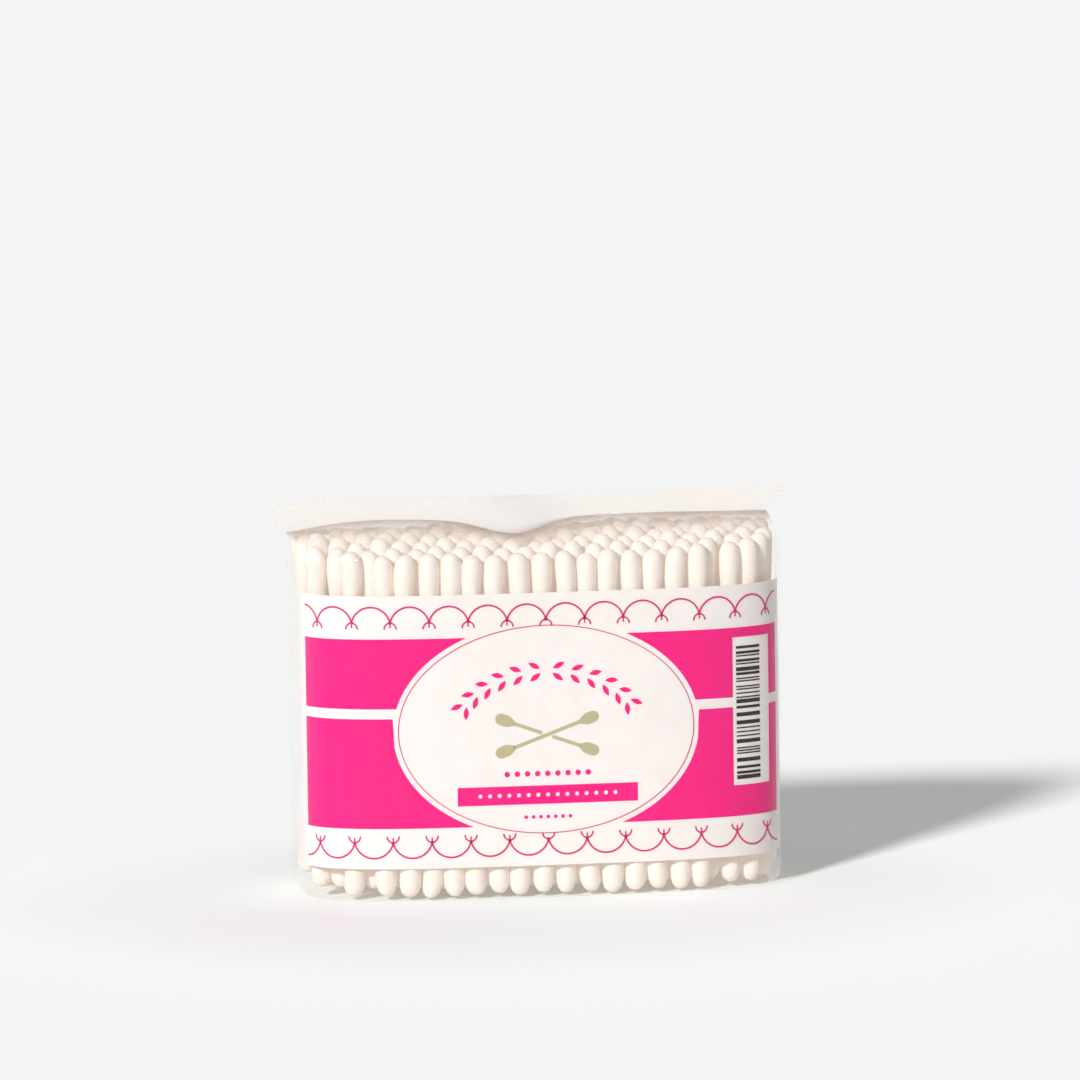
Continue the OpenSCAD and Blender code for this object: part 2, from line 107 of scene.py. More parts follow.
class BagSizes(bpy.types.PropertyGroup):
    """Sizes of the film bag and its seal."""

    half_w: length("Half width", "Half of the bag's width", 53.083)
    half_d: length("Half depth", "Half of the bag's depth", 23.769)
    base_edge: length("Base edge", "Radius of the folded edge round the base", 2.8)
    wall_top: length("Wall top", "Height of the upright wall", 74.15)
    shoulder_z: length("Shoulder", "Height of the shoulder over the front heads", 75.85)
    shoulder_in: length("Shoulder depth", "How far the shoulder turns in", 2.2)
    ridge_z: length("Ridge", "Height of the line where front and back film meet", 80.05)
    ridge_fall: length("Ridge fall", "How far the ridge drops at its left end", 1.7)
    fin_top: length("Seal top", "Height of the seal's upper edge", FILM_BOX[1][2] / MM)
    fin_t: length("Seal thickness", "Thickness of the two welded films", 0.3)
    ear_out: length("Ear", "Overhang of each ear beyond the side", 5.7)
    seal_shift: length("Seal shift", "How far the seal sits to the left", 1.3)
    dip_x: length("Dip place", "Place of the ridge's dip along the front", -4)
    dip_w: length("Dip width", "Half width of the dip", 9)
    dip_reach: length("Dip reach", "How far the ridge bends to the front at its dip", 9)
    dip_drop: length("Dip drop", "How far the ridge drops at its dip", 2.3)
    crease: length("Crease", "Height of the creases in the gathered roof", 0.2)
    slack: length("Slack", "How far the wall stands off its contents at most", 0.5)
    film: colour("Film", "Colour of the film's haze", "#F6F3F0")
    # Painted shade: the warm grey the film takes under the seal, standing in for the shade there
    painted_seal_shade: colour("Gathered film", "Colour of the creased film under the seal", "#D3C1B4")
    weld: colour("Seal", "Colour of the welded film", "#FFFAF6")


class LabelSizes(bpy.types.PropertyGroup):
    """Sizes of the label and its artwork."""

    deep: length("Depth", "Distance of the label inside the film's outer face", 0.45)
    thick: length("Thickness", "Thickness of the card", 0.2)
    low: length("Lower edge", "Height of the label's lower edge", LABEL_BOX[0][2] / MM)
    high: length("Upper edge", "Height of the label's upper edge", LABEL_BOX[1][2] / MM)
    margin: length("Margin", "Plain label beyond each end of the artwork", 6)
    shift: length("Shift", "Shift of the label along the front", -0.7)
    scallop_w: length("Scallop width", "Width of one scallop", 8.42)
    scallop_h: length("Scallop height", "Height of one scallop", 3.35)
    scallop_in: length("Scallop place", "Distance from the label's edge to the scallops' points", 5.7)
    line_w: length("Line width", "Width of the thin lines", 0.38)
    field_in: length("Field place", "Distance from the label's edge to the fields", 9.3)
    stripe_h: length("Stripe height", "Height of the white stripe", 2.2)
    stripe_up: length("Stripe place", "Stripe centre above the label's middle", 4.1)
    oval_a: length("Oval half width", "Half width of the white oval", 33.4)
    oval_over: length("Oval over", "How far the oval passes the fields", 3.2)
    panel_w: length("Panel width", "Width of the panel with bars", 10.1)
    panel_end: length("Panel end", "Field between the panel and the artwork's end", 3.3)
    panel_in: length("Panel place", "Distance from the label's upper edge to the panel", 11.4)
    panel_h: length("Panel height", "Height of the panel", 32.3)
    scallops: IntProperty(name="Scallops", description="Scallops of each border", default=13, min=5, max=20)
    paper: colour("Card", "Colour of the coated card", "#FDF6F2")
    pink: colour("Pink", "Colour of the pink ink", "#FF0886")
    rose: colour("Rose", "Colour of the thin printed lines", "#DC3674")
    khaki: colour("Khaki", "Colour of the khaki ink", "#C4BC94")
    black: colour("Black", "Colour of the black ink", "#231A1C")


class SwabSizes(bpy.types.PropertyGroup):
    """Sizes of the cotton heads and sticks."""

    head_d: length("Head diameter", "Diameter of a head where it is widest", 4.65)
    head_len: length("Head length", "Length of a head", 14)
    head_dome: length("Dome", "Distance from the tip to the widest place", 4.2)
    head_end_d: length("Head end", "Diameter of a head where it ends on the stick", 3.1)
    stick_d: length("Stick diameter", "Diameter of a stick", 2.3)
    tip_cotton: length("Tip", "Cotton beyond the end of a stick", 1.2)
    uneven: FloatProperty(
        name="Uneven", description="How much the heads differ", default=0.05, min=0, max=0.2, subtype="FACTOR"
    )
    cotton: colour("Cotton", "Colour of the cotton", "#F1E8E0")
    stick: colour("Stick", "Colour of the rolled paper", "#F3EEE6")


class StageSizes(bpy.types.PropertyGroup):
    """The camera, the floor and the light."""

    azimuth: angle("Azimuth", "Camera's place round the bag", -8)
    elevation: angle("Elevation", "Camera's height", 7.82)
    roll: angle("Roll", "Camera's turn to the right", 0.75)
    distance: length("Distance", "Camera's distance", 1980)
    width: length("Width", "Width of the picture at the bag", 234.9)
    floor: colour("Floor", "Colour of the paper floor", "#F5F5F5")


def sizes(name):
    """Values of a property group, lengths in millimetres and colours as linear tuples."""
    group = getattr(bpy.context.scene, name)
    found = {}
    for key, rule in group.bl_rna.properties.items():
        if key in ("rna_type", "name"):
            continue
        value = getattr(group, key)
        if rule.type == "FLOAT" and rule.is_array:
            found[key] = (*value, 1.0)
        elif rule.type == "FLOAT" and rule.unit == "LENGTH":
            found[key] = value / MM
        else:
            found[key] = value
    return type(name, (), found)


def stacked(*parts):
    """Points from their coordinates, each an array or one number for all."""
    return np.stack(np.broadcast_arrays(*parts), axis=-1)


# The outline: a superellipse walked by arc length, as the solids have it
POWER = 3.58


def outline(half_w, half_d):
    """Arc length and points, the front half: x = -a |cos t|^(2/n), y = -b |sin t|^(2/n), t 0 to 180."""
    t = np.radians(np.linspace(0, 180, 721))
    x = -half_w * np.sign(np.cos(t)) * np.abs(np.cos(t)) ** (2 / POWER)
    y = -half_d * np.abs(np.sin(t)) ** (2 / POWER)
    run = np.concatenate([[0], np.cumsum(np.hypot(np.diff(x), np.diff(y)))])
    return run - run[-1] / 2, x, y


def skin(s, z, deep, bag):
    """Point at arc length s from the front's middle and height z, moved in along the outline's normal.

    The normal is the gradient of |x/a|^n + |y/b|^n, made of unit length.
    """
    run, xs, ys = outline(bag.half_w, bag.half_d)
    x, y = np.interp(s, run, xs), np.interp(s, run, ys)
    gx = np.sign(x) * np.abs(x / bag.half_w) ** (POWER - 1) / bag.half_w
    gy = np.sign(y) * np.abs(y / bag.half_d) ** (POWER - 1) / bag.half_d
    size = np.hypot(gx, gy)
    return stacked(x - deep * gx / size, y - deep * gy / size, z)


def waves(q, z, parts, seed):
    """Sum of sines that closes round the bag: each has turns, a size, a lean over height and a phase."""
    dice = np.random.default_rng(seed)
    total = np.zeros(np.broadcast(q, z).shape)
    for turns, size, lean in parts:
        total = total + size * np.sin(turns * q + lean * z + dice.uniform(0, 2 * np.pi))
    return total


# Mesh helpers
def grid_quads(rows, columns, closed):
    """Quads of a grid stored row by row; a closed one joins its last column to its first."""
    across = columns if closed else columns - 1
    row = np.arange(rows - 1)[:, None] * columns
    here = np.arange(across)[None, :]
    there = (here + 1) % columns
    return stacked(row + here, row + there, row + columns + there, row + columns + here).reshape(-1, 4)


def strips(low, high, below, above):
    """Points and quads of a thin closed slab between two edges, given on its upper and its under side."""
    columns = len(low)
    points = np.concatenate([low, high, above, below])
    loop = np.arange(5) % 4
    k = np.arange(columns - 1)[:, None]
    a, b = loop[:4] * columns + k, loop[1:] * columns + k
    quads = stacked(a, a + 1, b + 1, b).reshape(-1, 4)
    ends = np.array([[0, 1, 2, 3], [3, 2, 1, 0]]) * columns + np.array([[0], [columns - 1]])
    return points, np.concatenate([quads, ends])


def joined(parts):
    """Points and faces of several parts as one mesh."""
    points, faces, first = [], [], 0
    for these, quads in parts:
        points.append(these)
        faces.extend((np.asarray(quads) + first).tolist())
        first += len(these)
    return np.concatenate(points), faces


def placed(name, data):
    """A new object in the scene that shows some data."""
    made = bpy.data.objects.new(name, data)
    bpy.context.collection.objects.link(made)
    return made


def add_piece(name, points, faces, materials, nodes, which=None, uv=None, sharp=40):
    """Makes a piece from points in millimetres, on the bag's body, for the solids that it replaces."""
    mesh = bpy.data.meshes.new(name)
    mesh.from_pydata((np.asarray(points) * MM).tolist(), [], [list(f) for f in faces])
    for material in materials:
        mesh.materials.append(material)
    if which is not None:
        mesh.polygons.foreach_set("material_index", np.asarray(which, dtype=np.int32))
    if uv is not None:
        layer = mesh.uv_layers.new(name="Surface")
        corners = np.empty(len(mesh.loops), dtype=np.int32)
        mesh.loops.foreach_get("vertex_index", corners)
        layer.data.foreach_set("uv", np.asarray(uv, dtype=np.float32)[corners].ravel())
    mesh.polygons.foreach_set("use_smooth", np.ones(len(mesh.polygons), dtype=bool))
    mesh.set_sharp_from_angle(angle=math.radians(sharp))
    mesh.update()
    piece = placed(name, mesh)
    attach(piece, "root")
    if nodes:
        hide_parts(*nodes)
    return piece


# Materials
def add_node(tree, kind, sockets=None, **fields):
    """Adds a node, sets its fields, and sets or links its sockets."""
    made = tree.nodes.new(kind)
    for field, value in fields.items():
        setattr(made, field, value)
    for socket, value in (sockets or {}).items():
        if isinstance(value, bpy.types.NodeSocket):
            tree.links.new(value, made.inputs[socket])
        else:
            made.inputs[socket].default_value = value
    return made


def blank_material(name):
    """A new material with only its output."""
    material = bpy.data.materials.new(name)
    material.use_nodes = True
    material.node_tree.nodes.clear()
    return material, material.node_tree


def finish_material(material, tree, shader):
    """Links a shader to the output."""
    add_node(tree, "ShaderNodeOutputMaterial", {"Surface": shader})
    return material


def ramp(tree, fac, low, high, to_low, to_high):
    """Maps a value from one range to another, kept inside it."""
    return add_node(
        tree,
        "ShaderNodeMapRange",
        {"Value": fac, "From Min": low, "From Max": high, "To Min": to_low, "To Max": to_high},
        clamp=True,
    ).outputs["Result"]


def mixed(tree, fac, first, second):
    """Mixes two colours."""
    return add_node(
        tree, "ShaderNodeMix", {"Factor": fac, 6: first, 7: second}, data_type="RGBA"
    ).outputs[2]


def sum_of(tree, first, second, operation="ADD"):
    """Works out one number from two, kept between 0 and 1."""
    return add_node(
        tree, "ShaderNodeMath", {0: first, 1: second}, operation=operation, use_clamp=True
    ).outputs[0]


def noise(tree, place, scale, detail, more=None):
    """Noise at a place, with its scale in cells a metre where the place is in metres."""
    sockets = {"Vector": place, "Scale": scale, "Detail": detail, **(more or {})}
    return add_node(tree, "ShaderNodeTexNoise", sockets).outputs["Fac"]


def stretched(tree, place, scale, move=(0, 0, 0)):
    """A place scaled by axis and moved, so that a pattern can be longer one way."""
    sockets = {"Vector": place, "Location": move, "Scale": scale}
    return add_node(tree, "ShaderNodeMapping", sockets).outputs[0]


def bumped(tree, height, strength, depth, more=None):
    """Normal bent by a height, with the relief's depth in metres."""
    sockets = {"Height": height, "Strength": strength, "Distance": depth, **(more or {})}
    return add_node(tree, "ShaderNodeBump", sockets).outputs[0]


def solid_shader(tree, base, roughness, normal, more=None):
    """Shader of a surface that light doesn't pass."""
    sockets = {"Base Color": base, "Roughness": roughness, "IOR": 1.5, "Normal": normal, **(more or {})}
    return add_node(tree, "ShaderNodeBsdfPrincipled", sockets).outputs[0]


def blend(tree, share, first, second):
    """Mixes two shaders by the second one's share."""
    return add_node(tree, "ShaderNodeMixShader", {0: share, 1: first, 2: second}).outputs[0]


def see_through(tree):
    """Shader that lets all light by."""
    return add_node(tree, "ShaderNodeBsdfTransparent", {"Color": (1, 1, 1, 1)}).outputs[0]


def less(shade, red, green, blue):
    """A colour with each part taken down to a share."""
    return (shade[0] * red, shade[1] * green, shade[2] * blue, 1.0)


def seen_rays(tree):
    """1 where the camera looks, straight or by a mirror or a clear sheet, and 0 for other light."""
    ray = add_node(tree, "ShaderNodeLightPath").outputs
    return sum_of(tree, ray["Is Camera Ray"], sum_of(tree, ray["Is Glossy Ray"], ray["Is Transmission Ray"]))


def object_place(tree):
    """Place in the object's own metres."""
    return add_node(tree, "ShaderNodeTexCoord").outputs["Object"]


def film_place(tree):
    """Place on the film: metres round it and up it."""
    return add_node(tree, "ShaderNodeUVMap", uv_map="Surface").outputs["UV"]


def film_material(bag, crest):
    """Blown polypropylene film, drawn tight: clear and glossy, with faint upright draw lines and haze, and a
    painted warm grey shade under the seal.
    """
    material, tree = blank_material("clear_blown_film")
    place = film_place(tree)
    # Draw lines stand about 3 mm apart and run up the film; haze clouds are about 20 mm across
    lines = noise(tree, stretched(tree, place, (330, 22, 1)), 1.0, 3.0, {"Roughness": 0.55})
    clouds = noise(tree, stretched(tree, place, (60, 45, 1)), 1.0, 2.0)
    bump = bumped(tree, lines, 0.35, 0.0004)
    # The film mirrors 2% of the light that meets it squarely and half of what grazes it
    facing = add_node(tree, "ShaderNodeLayerWeight", {"Blend": 0.5, "Normal": bump}).outputs["Facing"]
    steep = add_node(tree, "ShaderNodeMath", {0: facing, 1: 4.0}, operation="POWER").outputs[0]
    edge_on = ramp(tree, steep, 0.0, 1.0, 0.018, 0.5)
    mirror = {"Color": (1, 1, 1, 1), "Roughness": 0.12, "Normal": bump}
    shine = blend(tree, edge_on, see_through(tree), add_node(tree, "ShaderNodeBsdfGlossy", mirror).outputs[0])
    # Painted shade: in its last 12 mm under the seal the film is tinted warm grey and made more opaque,
    # standing in for the shade there
    run_up = add_node(tree, "ShaderNodeSeparateXYZ", {"Vector": place}).outputs["Y"]
    seal_shade_mask = ramp(tree, run_up, crest - 0.0125, crest - 0.0015, 0.0, 1.0)
    haze_and_shade_tint = mixed(tree, seal_shade_mask, bag.film, bag.painted_seal_shade)
    front = add_node(tree, "ShaderNodeBsdfDiffuse", {"Color": haze_and_shade_tint}).outputs[0]
    through = add_node(tree, "ShaderNodeBsdfTranslucent", {"Color": haze_and_shade_tint}).outputs[0]
    haze = blend(tree, 0.45, front, through)
    seal_shade_cover = sum_of(tree, seal_shade_mask, ramp(tree, clouds, 0.3, 0.7, 0.5, 0.85), "MULTIPLY")
    in_lines = ramp(tree, lines, 0.4, 0.75, 0.002, 0.014)
    in_clouds = ramp(tree, clouds, 0.35, 0.7, 0.0, 0.01)
    haze_and_shade_cover = sum_of(tree, sum_of(tree, in_lines, in_clouds), seal_shade_cover)
    return finish_material(material, tree, blend(tree, haze_and_shade_cover, shine, haze))


def weld_material(bag):
    """Heat-sealed film: two films pressed between warm jaws, milky, with fine level press lines."""
    material, tree = blank_material("welded_film")
    place = film_place(tree)
    # The jaws' lines are 0.8 mm apart, drawn a little coarser than real so that they show
    lines = noise(tree, stretched(tree, place, (14, 1250, 1)), 1.0, 1.0)
    clouds = noise(tree, stretched(tree, place, (70, 110, 1)), 1.0, 2.0)
    # Light spreads inside the weld, so its gentle folds hardly shade: the normal's side and rise are weakened
    bent = add_node(tree, "ShaderNodeNewGeometry").outputs["Normal"]
    weaker = {0: bent, 1: (0.15, 1, 0.15)}
    evened = add_node(tree, "ShaderNodeVectorMath", weaker, operation="MULTIPLY").outputs[0]
    facing = add_node(tree, "ShaderNodeVectorMath", {0: evened}, operation="NORMALIZE").outputs[0]
    milky = solid_shader(tree, bag.weld, 0.4, bumped(tree, lines, 0.1, 0.0002, {"Normal": facing}))
    cover = ramp(tree, clouds, 0.3, 0.75, 0.38, 0.46)
    return finish_material(material, tree, blend(tree, cover, see_through(tree), milky))


def card_material(label):
    """Coated folding card, calendered: white, smooth, half gloss, with a faint cloudy sheet formation."""
    material, tree = blank_material("coated_card")
    place = object_place(tree)
    # Fibre clouds in the sheet are about 4 mm across, and its grain about 0.4 mm
    clouds = noise(tree, place, 250.0, 4.0)
    bump = bumped(tree, noise(tree, place, 2600.0, 2.0), 0.08, 0.0001)
    cloudy = ramp(tree, clouds, 0.35, 0.7, 0.0, 1.0)
    tone = mixed(tree, cloudy, label.paper, less(label.paper, 0.955, 0.955, 0.955))
    return finish_material(
        material, tree, solid_shader(tree, tone, ramp(tree, clouds, 0.3, 0.7, 0.34, 0.42), bump)
    )


def ink_material(name, shade, uneven, gloss):
    """Offset ink on coated card: a thin even coat, slightly mottled where the card took it unevenly."""
    material, tree = blank_material(name)
    # Print mottle is about 2 mm across
    mottle = noise(tree, object_place(tree), 480.0, 5.0, {"Roughness": 0.6})
    kept = 1 - uneven
    tone = mixed(tree, ramp(tree, mottle, 0.35, 0.7, 0.0, 1.0), shade, less(shade, kept, kept, kept))
    rough = ramp(tree, mottle, 0.3, 0.7, gloss - 0.04, gloss + 0.05)
    bump = bumped(tree, mottle, 0.05, 0.0001)
    return finish_material(material, tree, solid_shader(tree, tone, rough, bump, {"Specular IOR Level": 0.2}))


def stick_material(swab):
    """Rolled kraft-free paper: a matt white stick with faint spiral laps."""
    material, tree = blank_material("rolled_paper")
    # Laps of the paper are about 2.5 mm apart up the stick
    laps = noise(tree, stretched(tree, object_place(tree), (500, 500, 400)), 1.0, 3.0)
    lap = ramp(tree, laps, 0.35, 0.7, 0.0, 1.0)
    tone = mixed(tree, lap, swab.stick, less(swab.stick, 0.92, 0.92, 0.92))
    return finish_material(material, tree, solid_shader(tree, tone, 0.6, bumped(tree, laps, 0.2, 0.0001)))


def cotton_material(swab):
    """Wound cotton: soft matt fibre with fine fibres that stand off it, a painted warm shade where its
    bundles sink, and a painted warm glow.
    """
    material, tree = blank_material("wound_cotton")
    place = object_place(tree)
    # Wound fibre bundles are about 0.6 mm wide and lie round the stick
    wound = stretched(tree, place, (420, 420, 1500))
    bundles = noise(tree, wound, 1.0, 4.0, {"Roughness": 0.6, "Distortion": 0.6})
    fuzz = noise(tree, place, 3800.0, 3.0)
    height = add_node(tree, "ShaderNodeMath", {0: bundles, 1: fuzz}, operation="ADD").outputs[0]
    # Painted shade: the cotton is darker and warmer where the bundle noise is low, the places the bump sinks
    # between bundles
    fold = ramp(tree, bundles, 0.35, 0.68, 1.0, 0.0)
    tone = mixed(tree, fold, swab.cotton, less(swab.cotton, 0.98, 0.95, 0.9))
    # White fibre hands light on from head to head; the warm glow is painted light that stands for what
    # reaches the folds that way
    soft = {"IOR": 1.45, "Specular IOR Level": 0.15, "Sheen Weight": 0.15, "Sheen Roughness": 0.5}
    soft.update({"Emission Color": (1.0, 0.91, 0.84, 1), "Emission Strength": 0.16})
    bump = bumped(tree, height, 0.45, 0.0004)
    return finish_material(material, tree, solid_shader(tree, tone, 0.95, bump, soft))


def floor_material(stage):
    """Seamless background paper: matt and even, paler to the eye than to the light it sends back."""
    material, tree = blank_material("background_paper")
    place = object_place(tree)
    grain = ramp(tree, noise(tree, place, 900.0, 2.0), 0.3, 0.7, 0.0, 1.0)
    seen = less(stage.floor, FLOOR_GAIN, FLOOR_GAIN, FLOOR_GAIN)
    tone = mixed(tree, grain, seen, less(seen, 0.997, 0.997, 0.997))
    # Painted shade: the paper is made a little darker and less pink in front of the bag, to cancel the light
    # that the white label and its print throw back on it
    near = stretched(tree, place, (10, 11, 1), (0.1, 0.22, 0))
    reach = add_node(tree, "ShaderNodeVectorMath", {0: near}, operation="LENGTH").outputs["Value"]
    painted_shade_tone = mixed(tree, ramp(tree, reach, 0.15, 1.15, 0.28, 0.0), tone, (0, 0.25, 0.24, 1))
    shade = add_node(tree, "ShaderNodeBsdfDiffuse", {"Color": painted_shade_tone}).outputs[0]
    glow = add_node(tree, "ShaderNodeEmission", {"Color": (1, 1, 1, 1), "Strength": 0.012}).outputs[0]
    shown = add_node(tree, "ShaderNodeAddShader", {0: shade, 1: glow}).outputs[0]
    lit = add_node(tree, "ShaderNodeBsdfDiffuse", {"Color": (0.9, 0.89, 0.875, 1.0)}).outputs[0]
    return finish_material(material, tree, blend(tree, seen_rays(tree), lit, shown))


# The film bag
def round_place(bag, columns):
    """Angle round the bag, arc length on the front half and side (1 front, -1 back) of each column."""
    u = np.arange(columns) / columns
    run = outline(bag.half_w, bag.half_d)[0]
    along = run[-1] * (1 - 4 * np.minimum(u, 1 - u))
    return u * 2 * np.pi, along, np.where(u <= 0.5, 1.0, -1.0)


def ring(bag, columns, deep, z):
    """One level ring of the film: the outline moved in by deep, at height z."""
    _, along, side = round_place(bag, columns)
    points = skin(along, z, deep, bag)
    points[:, 1] *= side
    return points


def ridge(bag, x):
    """Line where front and back film meet: straight, with one bell-shaped dip forward and down.

    The bell is exp(-((x - place) / width)^2); the left end falls by a narrow bell of its own.
    """
    bell = np.exp(-(((x - bag.dip_x) / bag.dip_w) ** 2))
    fall = np.exp(-(((x + bag.half_w + 1) / 9) ** 2))
    lift = 0.35 * np.exp(-(((x + 32) / 9) ** 2)) + 0.25 * np.exp(-(((x - 30) / 14) ** 2))
    rise = bag.ridge_z - bag.dip_drop * bell - bag.ridge_fall * fall + lift
    return stacked(x * (bag.half_w - 0.3) / bag.half_w - bag.seal_shift, -bag.dip_reach * bell, rise)


def film_rings(bag, columns):
    """Rings of the film from its base to the ridge, each a closed run of points, and their run-up lengths.

    Base and folded edge: quarter circle. Wall: the outline with upright waves. Shoulder and roof: each
    point goes from the shoulder to the ridge, its height by 1 - (1 - w)^1.35, with gathers that grow with w.
    """
    turn, along, side = round_place(bag, columns)
    front = side > 0
    rings = []
    for share in (0.25, 0.5, 0.75, 0.93):
        flat = ring(bag, columns, bag.base_edge, 0)
        rings.append(stacked(flat[:, 0] * share, flat[:, 1] * share, 0.0))
    for t in np.radians(np.linspace(0, 90, 7)):
        rings.append(ring(bag, columns, bag.base_edge * (1 - np.sin(t)), bag.base_edge * (1 - np.cos(t))))
    left_corner = np.exp(-(((along + 47) / 9) ** 2)) * front
    for z in np.linspace(bag.base_edge, bag.wall_top, 60)[1:]:
        edge = np.clip((z - bag.base_edge) / 5, 0, 1) * np.clip((bag.wall_top + 2 - z) / 6, 0, 1)
        wave = waves(turn, z, WALL_WAVES, 3)
        loose = 0.25 + 0.75 * np.exp(-(((z - 4) / 7) ** 2)) + 0.5 * np.exp(-(((z - 71) / 4) ** 2))
        out = bag.slack * edge * loose * np.clip(0.35 + 0.65 * wave, -0.3, 1.0)
        out = out + left_corner * edge * 0.5 * np.exp(-(((z - 9) / 8) ** 2))
        rings.append(ring(bag, columns, -out, z))
    flat = ring(bag, columns, 0, 0)
    inner = ring(bag, columns, bag.shoulder_in, 0)
    for w, z in ((0.1, bag.wall_top + 0.6), (0.35, bag.wall_top + 1.25), (0.7, bag.shoulder_z - 0.1)):
        x = flat[:, 0] * (1 - w * 0.2 / bag.half_w)
        rings.append(stacked(x, flat[:, 1] * (1 - w) + inner[:, 1] * w, z))
    x = flat[:, 0] * (1 - 0.2 / bag.half_w)
    foot = stacked(x, inner[:, 1], bag.shoulder_z)
    crest = ridge(bag, foot[:, 0])
    for w in np.linspace(0, 1, 30) ** 0.9:
        rise = 1 - (1 - w) ** 1.35
        gather = waves(turn, 0.25 * w, GATHERS, 8)
        crumple = waves(turn, w, CRUMPLES, 12)
        ends = np.clip(1 - (np.abs(foot[:, 0]) / bag.half_w) ** 10, 0, 1)
        lift = bag.crease * ends * (gather * (0.25 + 0.75 * w) + crumple * 0.8) * np.sin(np.pi * w) ** 0.6
        x = foot[:, 0] + (crest[:, 0] - foot[:, 0]) * w
        y = foot[:, 1] + (crest[:, 1] - foot[:, 1]) * w
        z = foot[:, 2] + (crest[:, 2] - foot[:, 2]) * rise + lift
        rings.append(stacked(x, y, z))
    return np.stack(rings), foot[:, 0], crest


def fin_rings(bag, columns, foot_x, crest):
    """Rings of the seal from the ridge to its upper edge: two films a weld's thickness apart.

    Both ears grow outward with height near the ends; the fold of the dip fades to a straight upper edge.
    """
    side = round_place(bag, columns)[2]
    side = np.where((np.arange(columns) == 0) | (np.arange(columns) == columns // 2), 0.0, side)
    tip = (np.abs(foot_x) / bag.half_w) ** 9
    left = foot_x < 0
    rings = []
    for f in np.linspace(0, 1, 12)[1:]:
        out = np.where(left, f**0.6, f**1.2) * tip * (bag.half_w + bag.ear_out - np.abs(crest[:, 0]))
        top = bag.fin_top - np.where(left, 1.2 * tip, 0) - 0.15
        sway = 0.5 * np.sin(np.pi * f) * waves(foot_x * 0.11, 0, ((1, 0.6, 0), (2.3, 0.4, 0)), 5)
        thick = bag.fin_t / 2 * min(1, 6 * (1.02 - f))
        x = crest[:, 0] + np.sign(foot_x) * out
        y = crest[:, 1] * (1 - 0.8 * f) + side * thick + sway
        rings.append(stacked(x, y, crest[:, 2] + (top - crest[:, 2]) * f))
    return np.stack(rings)


def build_film():
    """Makes the film bag and its welded seal as one closed shell with two finishes."""
    bag = sizes("swab_bag")
    columns = COLUMNS
    body, foot_x, crest = film_rings(bag, columns)
    fin = fin_rings(bag, columns, foot_x, crest)
    rings = np.concatenate([body, fin])
    count = len(rings)
    points = np.concatenate([rings.reshape(-1, 3), [[0, 0, 0]]])
    quads = grid_quads(count, columns, True)[:, ::-1]
    centre = len(points) - 1
    k = np.arange(columns)
    fan = stacked(k, (k + 1) % columns, centre)
    first = (count - 1) * columns
    j = np.arange(1, columns // 2 - 1)
    shut = stacked(first + j, first + j + 1, first + columns - j - 1, first + columns - j)
    far = first + columns // 2
    tips = np.array([[first, first + 1, first + columns - 1], [far - 1, far, far + 1]])
    faces = quads.tolist() + fan.tolist() + shut[:, ::-1].tolist() + tips[:, ::-1].tolist()
    welded = np.repeat(np.arange(count - 1) >= len(body) - 1, columns)
    which = np.concatenate([welded, np.zeros(columns, bool), np.ones(len(shut) + 2, bool)]).astype(int)
    turn = round_place(bag, columns)[0]
    reach = np.concatenate([[0], np.cumsum(np.linalg.norm(np.diff(rings, axis=0), axis=2).mean(axis=1))])
    u = np.tile(turn / (2 * np.pi) * GIRTH, count)
    v = np.repeat(reach * MM, columns)
    uv = np.concatenate([stacked(u, v), [[0, 0]]])
    finishes = [film_material(bag, float(reach[len(body) - 1]) * MM), weld_material(bag)]
    add_piece("film_shell", points, faces, finishes, ["film_bag"], which, uv)


# The label and its print
def art(label):
    """Places of the artwork on the label, worked out from its sizes."""
    middle = (label.low + label.high) / 2
    field_high = label.high - label.field_in
    field_low = label.low + label.field_in - 0.5
    half = label.scallops * label.scallop_w / 2
    right = half - label.panel_end
    top = label.high - label.panel_in
    found = {
        "middle": middle,
        "half": half,
        "field_high": field_high,
        "field_low": field_low,
        "stripe_top": middle + label.stripe_up + label.stripe_h / 2,
        "stripe_bottom": middle + label.stripe_up - label.stripe_h / 2,
        "oval_h": (field_high - field_low) / 2 + label.oval_over,
        "panel_right": right,
        "panel_left": right - label.panel_w,
        "panel_high": top,
        "panel_low": top - label.panel_h,
    }
    return type("art", (), found)


def on_label(s, z, above):
    """Point of the label's face, above it by so many millimetres, with the card's slow sway."""
    bag, label = sizes("swab_bag"), sizes("swab_label")
    sway = 0.05 * np.sin(s / 7.3 + 0.6) * np.sin(z / 17) + 0.03 * np.sin(s / 2.9 + z / 23)
    return skin(np.asarray(s) + label.shift, z, label.deep - 0.06 - above - sway, bag)


def inked(low, high):
    """Thin closed slab of ink between a lower and an upper edge, each a run of (s, z)."""
    low, high = np.asarray(low, float), np.asarray(high, float)
    return strips(*[on_label(e[:, 0], e[:, 1], up) for up in (INK_FACE, INK_UNDER) for e in (low, high)])


def stroke(path, half):
    """Slab of ink along a path of (s, z): each edge is half a width off it, square to its direction."""
    path = np.asarray(path, float)
    run = np.gradient(path, axis=0)
    run = run / np.linalg.norm(run, axis=1)[:, None]
    across = stacked(-run[:, 1], run[:, 0]) * np.broadcast_to(half, len(path))[:, None]
    return inked(path - across, path + across)


def build_card():
    """Makes the card: the label's strip as a closed sheet, its edges round it as a loop."""
    label = sizes("swab_label")
    half = art(label).half + label.margin
    s = np.linspace(-half, half, 260)
    z = np.concatenate([np.linspace(label.low, label.high, 32), np.linspace(label.high, label.low, 12)])
    above = np.concatenate([np.zeros(32), np.full(12, -label.thick)])
    loop = np.stack([on_label(at, z, above) for at in s])
    quads = grid_quads(len(s), len(z), True)[:, ::-1].tolist()
    caps = [list(range(len(z))), [(len(s) - 1) * len(z) + k for k in range(len(z) - 1, -1, -1)]]
    card = card_material(label)
    add_piece("card_label", loop.reshape(-1, 3), quads + caps, [card], ["label_sheet"])


